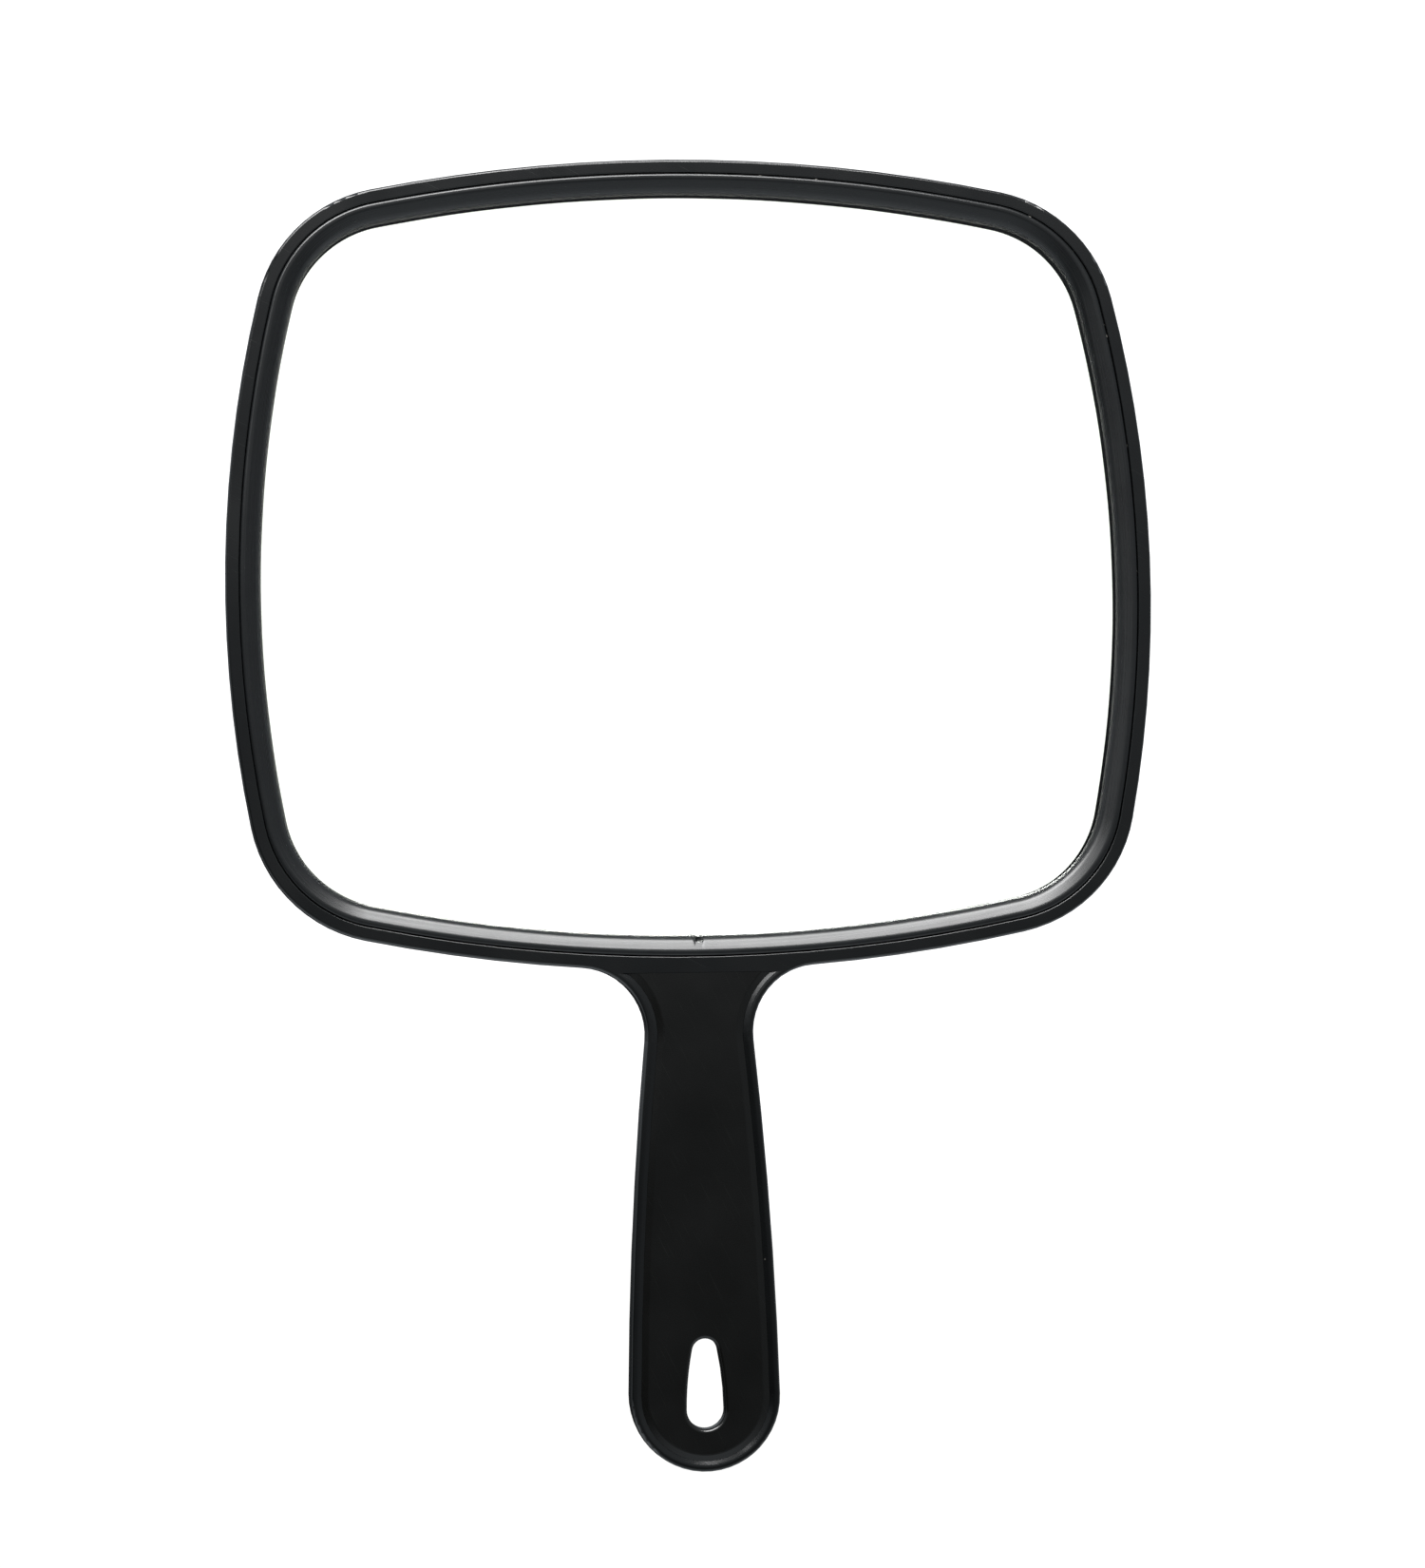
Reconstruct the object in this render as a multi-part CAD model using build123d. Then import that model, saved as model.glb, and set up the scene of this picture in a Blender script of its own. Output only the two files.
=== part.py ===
from build123d import *
import math
import os

os.makedirs("parts", exist_ok=True)

# Millimetres. X runs across the mirror, Z runs up the handle to the head, and the glass faces -Y.
# The origin is in the middle of the grip, halfway through the thickness.
# A depth is measured from the front plane back into the mirror, and an inset is measured inwards
# from the outline, square to it.

# Whole mirror
thickness = 11.0
height = 312.5
grip_height = 60.0  # from the handle's end up to the origin

# Head outline: four shallow arcs joined by four corner arcs
head_half_width = 111.0
head_widest = 210.0  # height of the widest place above the handle's end
head_bottom = 118.4  # where the bottom arc would cross the middle of the handle
side_radius = 292.0
crown_radius = 386.0  # top arc and bottom arc
upper_corner_radius = 34.6
lower_corner_radius = 34.2

# Handle outline
end_radius = 17.9
handle_side_radius = 1010.0
neck_radius = 16.0

# Hanging slot, egg shaped
slot_big_radius = 4.5
slot_small_radius = 3.1
slot_side_radius = 75.0
slot_flare = 1.1  # how much wider the slot is at the back than at the parting line
slot_big_height = 14.75  # of the big end's centre above the handle's end
slot_small_height = 28.35

# Back shell
parting_depth = 4.0  # the mould's parting line, the widest place of the edge
front_draft = 0.22
back_draft = 0.3
front_edge_radius = 0.7
back_edge_radius = 3.4
band = 3.3  # width of the flat band round the head
band_round = 0.25  # radius over the band's inner edge
floor_depth = 8.6
rib_height = 1.6
rib_thickness = 1.6
rib_pitch = 27.0
rib_reach = 4  # ribs each side of the middle
handle_floor_depth = 8.8
handle_wall = 4.6
handle_ledge = 2.3  # under the panel's top edge
tube_wall = 2.2
boss_radius = 3.2
peg_hole_depth = 4.0
spine_height = 76.0  # of its middle above the handle's end
spine_length = 84.0
spine_drop = 1.5  # below the panel's seat
gate_radius = 2.6
gate_depth = 0.35

# Handle panel, level with the shell. Its seam runs along the bottom of a shallow groove.
groove_start = 1.55  # insets of the groove's two sides and of the seam
seam = 2.65
groove_end = 4.2
groove_depth = 0.43
groove_round = 1.5
panel_sink = 0.05
panel_thickness = 2.75
panel_top = 118.0  # height of the panel's straight top edge
panel_gap = 0.06
slot_edge_radius = 0.9
peg_radius = 1.5
peg_length = 3.5
peg_clearance = 0.1
peg_heights = (42.0, 72.0, 102.0)

# Retaining ring
ring_gap = 0.1
ring_shoulder = 0.8  # radius over its outer front edge
ring_crest = 4.8  # inset where the flat crest ends and the bevel starts
crest_round = 2.0
bevel_angle = 20.0
ring_lip = 8.04  # inset where the bevel would meet the lip's steep wall
lip_radius = 2.7
ring_inner = 8.5
skirt_inner = 4.8
skirt_depth = 6.8
notch_width = 1.6
notch_length = 1.1
tab_count = 12
tab_length = 8.0
tab_reach = 0.35
tab_depth = 5.0
tab_height = 0.9
tab_clearance = 0.15

# Mirror and what lies behind it
glass_depth = 2.6
glass_thickness = 3.0
glass_inset = 4.95
glass_arris = 0.3
silver_thickness = 0.1
paint_thickness = 0.1
coat_inset = 5.2
foam_thickness = 1.2
foam_inset = 5.4
tape_width = 12.0
tape_length = 118.0
tape_spacing = 46.0
tape_count = 4
tape_clearance = 0.5

# Worked out from the above
panel_seat = panel_sink + panel_thickness
ring_outer = band + ring_gap
silver_depth = glass_depth + glass_thickness
paint_depth = silver_depth + silver_thickness
foam_depth = paint_depth + paint_thickness


def towards(start, end):
    """Unit vector from one point to another."""
    span = math.dist(start, end)
    return ((end[0] - start[0]) / span, (end[1] - start[1]) / span)


def meeting(centre_a, reach_a, centre_b, reach_b, side):
    """Point at two given distances from two centres, on one side of the line between them."""
    ux, uz = towards(centre_a, centre_b)
    span = math.dist(centre_a, centre_b)
    along = (reach_a**2 - reach_b**2 + span**2) / (2 * span)
    out = side * math.sqrt(reach_a**2 - along**2)
    return (centre_a[0] + ux * along - uz * out, centre_a[1] + uz * along + ux * out)


def on_arc(centre, radius, direction, outward=1):
    """A station of the outline: a point on an arc and the outline's outward normal there."""
    x, z = centre[0] + radius * direction[0], centre[1] + radius * direction[1]
    return (x, z, outward * direction[0], outward * direction[1])


def halfway(centre, radius, first, last, outward=1):
    """The station in the middle of the arc between two stations."""
    middle = ((first[0] + last[0]) / 2, (first[1] + last[1]) / 2)
    return on_arc(centre, radius, towards(centre, middle), outward)


def mirrored(station):
    """The same station on the -X side."""
    return (-station[0], station[1], -station[2], station[3])


# Centres of the outline's arcs on the +X side
top_centre = (0, height - crown_radius)
bottom_centre = (0, head_bottom + crown_radius)
side_centre = (head_half_width - side_radius, head_widest)
upper_corner = meeting(
    top_centre, crown_radius - upper_corner_radius,
    side_centre, side_radius - upper_corner_radius, -1,
)
lower_corner = meeting(
    bottom_centre, crown_radius - lower_corner_radius,
    side_centre, side_radius - lower_corner_radius, 1,
)
end_centre = (0, end_radius)
handle_side_centre = (-math.sqrt((handle_side_radius - end_radius) ** 2 - end_radius**2), 0)
neck_centre = meeting(
    bottom_centre, crown_radius + neck_radius,
    handle_side_centre, handle_side_radius + neck_radius, 1,
)

# Stations where one arc runs into the next
top_joint = on_arc(top_centre, crown_radius, towards(top_centre, upper_corner))
upper_joint = on_arc(side_centre, side_radius, towards(side_centre, upper_corner))
lower_joint = on_arc(side_centre, side_radius, towards(side_centre, lower_corner))
bottom_joint = on_arc(bottom_centre, crown_radius, towards(bottom_centre, lower_corner))
neck_joint = on_arc(bottom_centre, crown_radius, towards(bottom_centre, neck_centre))
grip_joint = on_arc(
    handle_side_centre, handle_side_radius, towards(handle_side_centre, neck_centre)
)
end_joint = on_arc(handle_side_centre, handle_side_radius, towards(handle_side_centre, end_centre))

# The +X side of the head and of the handle, each a run of joints with an arc's middle between
head_side = [
    top_joint,
    halfway(upper_corner, upper_corner_radius, top_joint, upper_joint),
    upper_joint,
    halfway(side_centre, side_radius, upper_joint, lower_joint),
    lower_joint,
    halfway(lower_corner, lower_corner_radius, lower_joint, bottom_joint),
    bottom_joint,
]
handle_side = [
    halfway(bottom_centre, crown_radius, bottom_joint, neck_joint),
    neck_joint,
    halfway(neck_centre, neck_radius, neck_joint, grip_joint, -1),
    grip_joint,
    halfway(handle_side_centre, handle_side_radius, grip_joint, end_joint),
    end_joint,
]


def closed_loop(right_side, bottom):
    """The whole outline: the top's middle, the +X side, the bottom's middle and the -X side."""
    left_side = [mirrored(station) for station in reversed(right_side)]
    return [(0, height, 0, 1), *right_side, bottom, *left_side]


head_loop = closed_loop(head_side, (0, head_bottom, 0, -1))
mirror_loop = closed_loop(head_side + handle_side, (0, 0, 0, -1))


def arcs_along(stations, inset):
    """Arcs end to end through every third station, moved inwards. Each arc keeps its centre."""
    points = [(x - nx * inset, z - nz * inset) for x, z, nx, nz in stations]
    return [ThreePointArc(*points[i : i + 3]) for i in range(0, len(points) - 2, 2)]


def inset_face(loop, inset):
    """Face of an outline shrunk by the inset."""
    top_middle, *joints = loop
    return make_face(Wire(arcs_along([*joints, top_middle, joints[0]], inset)))


def at_depth(flat, depth):
    """Stand a flat drawing of x and height up in the mirror at a depth behind its front."""
    return Plane.XZ.offset(thickness / 2 - depth) * (Pos(0, -grip_height) * flat)


def slab(flat, front, back):
    """Solid with a constant section between two depths."""
    return extrude(at_depth(flat, front), amount=front - back)


def frustum(front_flat, front, back_flat, back):
    """Solid whose section changes steadily from one drawing to another between two depths."""
    return loft([at_depth(front_flat, front), at_depth(back_flat, back)], ruled=True)


def slot_face(grow):
    """Egg-shaped slot: a big arc, a small arc and two shallow side arcs that touch both."""
    big = (0, slot_big_height)
    small = (0, slot_small_height)
    side = meeting(
        big, slot_side_radius - slot_big_radius, small, slot_side_radius - slot_small_radius, 1
    )
    low = on_arc(big, slot_big_radius, towards(side, big))
    high = on_arc(small, slot_small_radius, towards(side, small))
    waist = halfway(side, slot_side_radius, low, high)
    foot = (0, slot_big_height - slot_big_radius, 0, -1)
    top = (0, slot_small_height + slot_small_radius, 0, 1)
    loop = [high, waist, low, foot, mirrored(low), mirrored(waist), mirrored(high), top, high]
    return make_face(Wire(arcs_along(loop, -grow)))


def panel_face(inset, top):
    """Face of the handle's outline shrunk by the inset and cut off straight at a height."""
    reach = neck_radius + inset
    corner_x = neck_centre[0] - math.sqrt(reach**2 - (top - neck_centre[1]) ** 2)
    corner = on_arc(neck_centre, neck_radius, towards(neck_centre, (corner_x, top)), -1)
    right = [corner, halfway(neck_centre, neck_radius, corner, grip_joint, -1), *handle_side[3:]]
    left = [mirrored(station) for station in reversed(right)]
    arcs = arcs_along([*right, (0, 0, 0, -1), *left], inset)
    return make_face(Wire([*arcs, Line(arcs[-1] @ 1, arcs[0] @ 0)]))


def edges_at_depth(shape, depth):
    """Edges that lie wholly at one depth."""
    level = depth - thickness / 2
    return shape.edges().filter_by(
        lambda edge: abs(edge.bounding_box().min.Y - level) < 1e-3
        and abs(edge.bounding_box().max.Y - level) < 1e-3
    )


def rounded_rim(shape, flat, depth, radius):
    """Round the curved edges that follow a drawing's boundary at one depth."""
    boundary = at_depth(flat, depth).face().outer_wire()
    curved = edges_at_depth(shape, depth).filter_by(GeomType.CIRCLE)
    return fillet(curved.filter_by(lambda edge: boundary.distance_to(edge @ 0.5) < 1e-3), radius)


def spokes(length):
    """Bars that reach from the head's middle out through each snap tab."""
    middle = Pos(0, 0, head_widest - grip_height)
    bar = Pos(head_half_width, 0, 0) * Box(2 * head_half_width, 2 * thickness, length)
    bars = Part()
    for index in range(tab_count):
        bars += middle * Rot(0, 360 / tab_count * (index + 0.5), 0) * bar
    return bars


def shell_block():
    """Outer form of the shell, widest at the parting line, with its edges rounded."""
    widest = inset_face(mirror_loop, 0)
    block = frustum(inset_face(mirror_loop, front_draft), 0, widest, parting_depth)
    block += frustum(widest, parting_depth, inset_face(mirror_loop, back_draft), thickness)
    block = fillet(edges_at_depth(block, 0), front_edge_radius)
    return fillet(edges_at_depth(block, thickness), back_edge_radius)


def head_ribs():
    """Grid of low ribs on the floor of the head, which carry the foam."""
    top = floor_depth - rib_height
    length = 2 * head_half_width
    ribs = Part()
    for index in range(-rib_reach, rib_reach + 1):
        offset = index * rib_pitch
        ribs += slab(Pos(0, head_widest + offset) * Rectangle(length, rib_thickness), top, floor_depth)
        ribs += slab(Pos(offset, head_widest) * Rectangle(rib_thickness, length), top, floor_depth)
    return ribs & slab(inset_face(head_loop, band), top, floor_depth)


def handle_core():
    """What stands in the handle's hollow: the slot's tube, cross ribs and the pegs' bosses."""
    core = slab(slot_face(tube_wall), panel_seat, handle_floor_depth)
    for peg_height in peg_heights:
        rib = Pos(0, peg_height) * Rectangle(4 * end_radius, rib_thickness)
        core += slab(rib, panel_seat, handle_floor_depth)
        core += slab(Pos(0, peg_height) * Circle(boss_radius), panel_seat, handle_floor_depth)
    spine = Pos(0, spine_height) * Rectangle(rib_thickness, spine_length)
    return core + slab(spine, panel_seat + spine_drop, handle_floor_depth)


def back_shell():
    """Tray that carries everything: band, border, floor, ribs and the handle's hollow back."""
    shell = shell_block()

    # Head: pocket for the ring and the mirror, with a catch for each of the ring's tabs
    pocket = inset_face(head_loop, band)
    shell -= slab(pocket, 0, floor_depth)
    shell = rounded_rim(shell, pocket, 0, band_round)
    shell += head_ribs()
    catch = slab(
        inset_face(head_loop, band - tab_reach - tab_clearance),
        tab_depth - tab_clearance,
        tab_depth + tab_height + tab_clearance,
    )
    catch -= slab(inset_face(head_loop, band + 1), 0, thickness)
    shell -= catch & spokes(tab_length + 2 * tab_clearance)

    # Handle: outer side of the groove, seat for the panel, hollow below it, a hole for each peg
    rim = panel_face(groove_start, panel_top)
    seat = panel_face(seam, panel_top)
    shell -= frustum(rim, 0, seat, groove_depth)
    shell = rounded_rim(shell, rim, 0, groove_round)
    shell -= slab(seat, groove_depth, panel_seat)
    hollow = panel_face(handle_wall, panel_top - handle_ledge)
    shell -= slab(hollow, panel_seat, handle_floor_depth) - handle_core()
    for peg_height in peg_heights:
        hole = Pos(0, peg_height) * Circle(peg_radius + peg_clearance)
        shell -= slab(hole, panel_seat, panel_seat + peg_hole_depth)

    # Slot through the handle, and the mark that the mould's gate leaves on the back
    flared = slot_face(slot_flare)
    shell -= slab(slot_face(0), 0, parting_depth)
    shell -= frustum(slot_face(0), parting_depth, flared, thickness)
    shell = rounded_rim(shell, flared, thickness, slot_edge_radius)
    gate = Pos(0, head_widest) * Circle(gate_radius)
    return shell - slab(gate, thickness - gate_depth, thickness)


def retaining_ring():
    """Bevelled frame over the glass, with a skirt round it and snap tabs on the skirt."""
    lip_depth = (ring_lip - ring_crest) * math.tan(math.radians(bevel_angle))
    outer = inset_face(head_loop, ring_outer)
    crest = inset_face(head_loop, ring_crest)
    lip = inset_face(head_loop, ring_lip)
    inner = inset_face(head_loop, ring_inner)
    ring = slab(outer, 0, skirt_depth) - frustum(crest, 0, lip, lip_depth)
    ring -= frustum(lip, lip_depth, inner, glass_depth) + slab(inner, glass_depth, skirt_depth)
    ring -= slab(inset_face(head_loop, skirt_inner), glass_depth, skirt_depth)
    ring = rounded_rim(ring, outer, 0, ring_shoulder)
    ring = rounded_rim(ring, crest, 0, crest_round)
    ring = rounded_rim(ring, lip, lip_depth, lip_radius)

    tab = slab(inset_face(head_loop, band - tab_reach), tab_depth, tab_depth + tab_height)
    tab -= slab(inset_face(head_loop, ring_outer + ring_gap), 0, thickness)
    ring += tab & spokes(tab_length)

    # Small notch in the lip at the bottom of the head, for lifting the ring out
    notch = Pos(0, head_bottom + ring_inner) * SlotOverall(2 * notch_length, notch_width, rotation=90)
    return ring - slab(notch, 0, glass_depth)


def handle_panel():
    """Front face of the handle, with the slot through it and pegs behind it."""
    face = panel_face(groove_end, panel_top - panel_gap)
    edge = panel_face(seam + panel_gap, panel_top - panel_gap)
    panel = frustum(face, panel_sink, edge, groove_depth) + slab(edge, groove_depth, panel_seat)
    panel = rounded_rim(panel, face, panel_sink, groove_round)
    panel -= slab(slot_face(0), panel_sink, panel_seat)
    panel = rounded_rim(panel, slot_face(0), panel_sink, slot_edge_radius)
    for peg_height in peg_heights:
        peg = Pos(0, peg_height) * Circle(peg_radius)
        panel += slab(peg, panel_seat, panel_seat + peg_length)
    return panel


def mirror_glass():
    """Clear float glass with its sharp edges ground off."""
    glass = slab(inset_face(head_loop, glass_inset), glass_depth, silver_depth)
    return chamfer(edges_at_depth(glass, glass_depth) + edges_at_depth(glass, silver_depth), glass_arris)


def silver_layer():
    """Reflecting film on the back of the glass."""
    return slab(inset_face(head_loop, coat_inset), silver_depth, paint_depth)


def backing_paint():
    """Protective coat over the silver."""
    return slab(inset_face(head_loop, coat_inset), paint_depth, foam_depth)


def tape_drawings(grow):
    """Strips of tape side by side across the back of the mirror."""
    strips = Sketch()
    for index in range(tape_count):
        offset = (index - (tape_count - 1) / 2) * tape_spacing
        strips += Pos(offset, head_widest) * Rectangle(tape_width + grow, tape_length + grow)
    return strips


def foam_pad():
    """Thin foam sheet with a window for each strip of tape."""
    foam = slab(inset_face(head_loop, foam_inset), foam_depth, foam_depth + foam_thickness)
    return foam - slab(tape_drawings(2 * tape_clearance), foam_depth, foam_depth + foam_thickness)


def tape_strips():
    """Double-sided tape that bonds the mirror to the shell's ribs."""
    return slab(tape_drawings(0), foam_depth, foam_depth + foam_thickness)


pieces = {
    "back_shell": back_shell,
    "retaining_ring": retaining_ring,
    "handle_panel": handle_panel,
    "mirror_glass": mirror_glass,
    "silver_layer": silver_layer,
    "backing_paint": backing_paint,
    "foam_pad": foam_pad,
    "tape_strips": tape_strips,
}
for name, make in pieces.items():
    export_step(make(), f"parts/{name}.step")
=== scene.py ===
import math
import bmesh
import bpy
import numpy as np
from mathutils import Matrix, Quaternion, Vector


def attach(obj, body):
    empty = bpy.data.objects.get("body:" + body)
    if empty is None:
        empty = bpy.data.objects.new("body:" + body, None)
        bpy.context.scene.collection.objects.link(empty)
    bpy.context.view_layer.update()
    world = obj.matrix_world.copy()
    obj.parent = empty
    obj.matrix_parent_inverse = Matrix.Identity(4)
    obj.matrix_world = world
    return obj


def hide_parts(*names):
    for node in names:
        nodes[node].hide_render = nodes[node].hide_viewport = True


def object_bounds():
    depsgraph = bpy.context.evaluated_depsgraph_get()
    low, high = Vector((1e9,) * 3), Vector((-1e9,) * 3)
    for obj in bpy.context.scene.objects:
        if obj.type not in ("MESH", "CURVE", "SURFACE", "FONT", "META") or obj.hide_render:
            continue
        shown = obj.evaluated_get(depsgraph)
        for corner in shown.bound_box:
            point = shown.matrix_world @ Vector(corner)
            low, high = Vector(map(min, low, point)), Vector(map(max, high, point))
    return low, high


# Metres, in the mirror's own frame: X across, Z up the handle, and the glass faces -Y
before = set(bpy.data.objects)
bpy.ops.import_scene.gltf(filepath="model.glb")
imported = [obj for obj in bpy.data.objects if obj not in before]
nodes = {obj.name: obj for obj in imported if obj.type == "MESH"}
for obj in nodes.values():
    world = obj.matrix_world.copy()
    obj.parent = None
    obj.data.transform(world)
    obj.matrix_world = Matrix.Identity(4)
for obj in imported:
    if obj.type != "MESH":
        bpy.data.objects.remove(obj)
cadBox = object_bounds()
mm = 0.001
print("frame loaded:", ", ".join(sorted(nodes)))


def linearColour(code):
    # sRGB hex to linear: v / 12.92 when dark, else ((v + 0.055) / 1.055) to the power 2.4
    values = [int(code[i:i + 2], 16) / 255 for i in (1, 3, 5)]
    linear = [v / 12.92 if v <= 0.04045 else ((v + 0.055) / 1.055) ** 2.4 for v in values]
    return (*linear, 1.0)


def addNode(tree, kind, inputs=None, **settings):
    # one node with its settings; an input is a value, or an output socket to link from
    node = tree.nodes.new(kind)
    for key, value in settings.items():
        setattr(node, key, value)
    for key, value in (inputs or {}).items():
        if isinstance(value, bpy.types.NodeSocket):
            tree.links.new(value, node.inputs[key])
        else:
            node.inputs[key].default_value = value
    return node


def newMaterial(name):
    # a material with only its output node
    material = bpy.data.materials.new(name)
    material.use_nodes = True
    material.node_tree.nodes.clear()
    return material, material.node_tree, addNode(material.node_tree, "ShaderNodeOutputMaterial")


def dress(piece, material):
    # one material over a whole piece, a CAD node or a new mesh
    if not piece.material_slots:
        piece.data.materials.append(material)
    for slot in piece.material_slots:
        slot.material = material


def outwardFrom(azimuth, elevation):
    # unit vector from the mirror: azimuth from straight in front, plus to the right; degrees
    a, e = math.radians(azimuth), math.radians(elevation)
    return Vector((math.sin(a) * math.cos(e), -math.cos(a) * math.cos(e), math.sin(e)))


# Camera: to the left of the mirror and a little below its middle, looking nearly level at that
# middle; angles in degrees
cameraSetup = {
    "aim": (3.96 * mm, -3.5 * mm, 102.73 * mm),
    "distance": 990 * mm,
    "azimuth": -6.0,
    "elevation": -2.517,
    "roll": 0.866,
    "lens": 95.43,
    "sensor": 36,
}
backwards = outwardFrom(cameraSetup["azimuth"], cameraSetup["elevation"])
camera = bpy.data.objects.new("camera", bpy.data.cameras.new("camera"))
camera.data.lens = cameraSetup["lens"]
camera.data.sensor_width = cameraSetup["sensor"]
camera.rotation_mode = "QUATERNION"
camera.location = Vector(cameraSetup["aim"]) + backwards * cameraSetup["distance"]
roll = Quaternion((0, 0, 1), math.radians(-cameraSetup["roll"]))
camera.rotation_quaternion = (-backwards).to_track_quat("-Z", "Y") @ roll
bpy.context.scene.collection.objects.link(camera)
bpy.context.scene.camera = camera
bpy.context.scene.view_settings.view_transform = "Standard"
print("camera placed")

# Studio: white to the eye and through the glass, and for everything else a dim grey room, so that
# the black plastic keeps its depth. The room's parts are (from, to, gain) along one direction, and
# their gains add up: it is lighter higher up, low on the right, down by the table and at the
# sides, and dark behind.
studio = {
    "white": 1.3,
    "room": "#6c7073",
    "roomBase": 0.36,
    "roomLeast": 0.02,
    "higher": (-0.1, 0.16, 1.5),
    "lowRight": (0.1, -0.05, 1.05),
    "table": (-0.2, -0.7, 3.8),
    "sides": (-0.65, 0.2, 3.6),
    "behind": (0.4, 0.85, -3.6),
    "lightsAim": (0, 0, 0.1),
    "lightsDistance": 1.5,
    "softboxSize": (1.2, 0.66),
    "softboxAzimuth": -15,
    "softboxElevation": 49,
    "softboxPower": 47,
    "cardSize": (0.42, 0.3),  # a white card below the softbox's left end carries its light lower
    "cardAzimuth": -30,
    "cardElevation": 27,
    "cardPower": 2.0,
}
world = bpy.data.worlds.new("studio")
bpy.context.scene.world = world
world.use_nodes = True
tree = world.node_tree
tree.nodes.clear()
path = addNode(tree, "ShaderNodeLightPath")
seen = addNode(tree, "ShaderNodeMath", {
    0: path.outputs["Is Camera Ray"], 1: path.outputs["Is Transmission Ray"],
}, operation="MAXIMUM")
looking = addNode(tree, "ShaderNodeTexCoord").outputs["Generated"]
direction = addNode(tree, "ShaderNodeSeparateXYZ", {0: looking})
roomParts = (("Z", "higher"), ("Z", "lowRight"), ("Z", "table"), ("Y", "sides"), ("Y", "behind"))
higher, lowRight, table, sides, behind = [
    addNode(tree, "ShaderNodeMapRange", {
        "Value": direction.outputs[axis], "From Min": studio[part][0],
        "From Max": studio[part][1], "To Max": studio[part][2],
    }, interpolation_type="SMOOTHSTEP").outputs["Result"]
    for axis, part in roomParts
]
total = addNode(tree, "ShaderNodeMath", {
    0: direction.outputs["X"], 1: lowRight, 2: studio["roomBase"],
}, operation="MULTIPLY_ADD")
for gain in (higher, table, sides, behind):
    total = addNode(tree, "ShaderNodeMath", {0: total.outputs[0], 1: gain}, operation="ADD")
strength = addNode(tree, "ShaderNodeMath", {
    0: total.outputs[0], 1: studio["roomLeast"],
}, operation="MAXIMUM")
room = addNode(tree, "ShaderNodeBackground", {
    "Color": linearColour(studio["room"]), "Strength": strength.outputs[0],
})
white = addNode(tree, "ShaderNodeBackground", {"Color": (1, 1, 1, 1), "Strength": studio["white"]})
mixed = addNode(tree, "ShaderNodeMixShader", {
    0: seen.outputs[0], 1: room.outputs[0], 2: white.outputs[0],
})
addNode(tree, "ShaderNodeOutputWorld", {"Surface": mixed.outputs[0]})

# the softbox and the card: rectangles of light on a sphere round the mirror, facing its middle
for name in ("softbox", "card"):
    outward = outwardFrom(studio[name + "Azimuth"], studio[name + "Elevation"])
    lamp = bpy.data.lights.new(name, "AREA")
    lamp.shape = "RECTANGLE"
    lamp.size, lamp.size_y = studio[name + "Size"]
    lamp.energy = studio[name + "Power"]
    light = bpy.data.objects.new(name, lamp)
    light.location = Vector(studio["lightsAim"]) + outward * studio["lightsDistance"]
    light.rotation_mode = "QUATERNION"
    light.rotation_quaternion = (-outward).to_track_quat("-Z", "Y")
    light.visible_camera = False
    bpy.context.scene.collection.objects.link(light)

# Floor: plain pale paper well below the mirror, evenly bright and throwing nothing back
floorSetup = {"drop": 0.9, "size": 30.0, "colour": "#f4f4f2", "strength": 1.2}
material, tree, output = newMaterial("white paper floor")
paper = addNode(tree, "ShaderNodeEmission", {
    "Color": linearColour(floorSetup["colour"]), "Strength": floorSetup["strength"],
})
tree.links.new(paper.outputs[0], output.inputs[0])
half, level = floorSetup["size"] / 2, cadBox[0].z - floorSetup["drop"]
corners = [(-half, -half, level), (half, -half, level), (half, half, level), (-half, half, level)]
floorMesh = bpy.data.meshes.new("floor")
floorMesh.from_pydata(corners, [], [(0, 1, 2, 3)])
floor = bpy.data.objects.new("floor", floorMesh)
dress(floor, material)
floor.visible_diffuse = floor.visible_glossy = False
bpy.context.scene.collection.objects.link(floor)
print("studio lit")

# Head outline in millimetres, the same arcs as the shell's: a crowned top and bottom, crowned
# sides, and a corner arc between each two that touches both. Heights are from the handle's end.
outline = {
    "height": 312.5,
    "gripHeight": 60.0,  # up to the frame's origin
    "frontDepth": 5.5,  # the front plane is this far in front of the origin
    "halfWidth": 111.0,
    "widest": 210.0,
    "bottom": 118.4,
    "sideRadius": 292.0,
    "crownRadius": 386.0,
    "upperCornerRadius": 34.6,
    "lowerCornerRadius": 34.2,
    "closingRoom": 0.5,  # least length left between the last station and the first
}
mergeDistance = 0.0001 * mm


def cornerCentre(crown, side, crownReach, sideReach, sign):
    # where two circles cross: along the line between their centres, then off it at right angles
    crown, side = np.array(crown), np.array(side)
    apart = side - crown
    span = np.hypot(*apart)
    along = (crownReach ** 2 - sideReach ** 2 + span ** 2) / (2 * span)
    out = sign * math.sqrt(crownReach ** 2 - along ** 2)
    unit = apart / span
    return crown + unit * along + np.array([-unit[1], unit[0]]) * out


def angleOf(start, end):
    # direction from one point to another, counter-clockwise from X
    return math.atan2(end[1] - start[1], end[0] - start[0])


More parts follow.
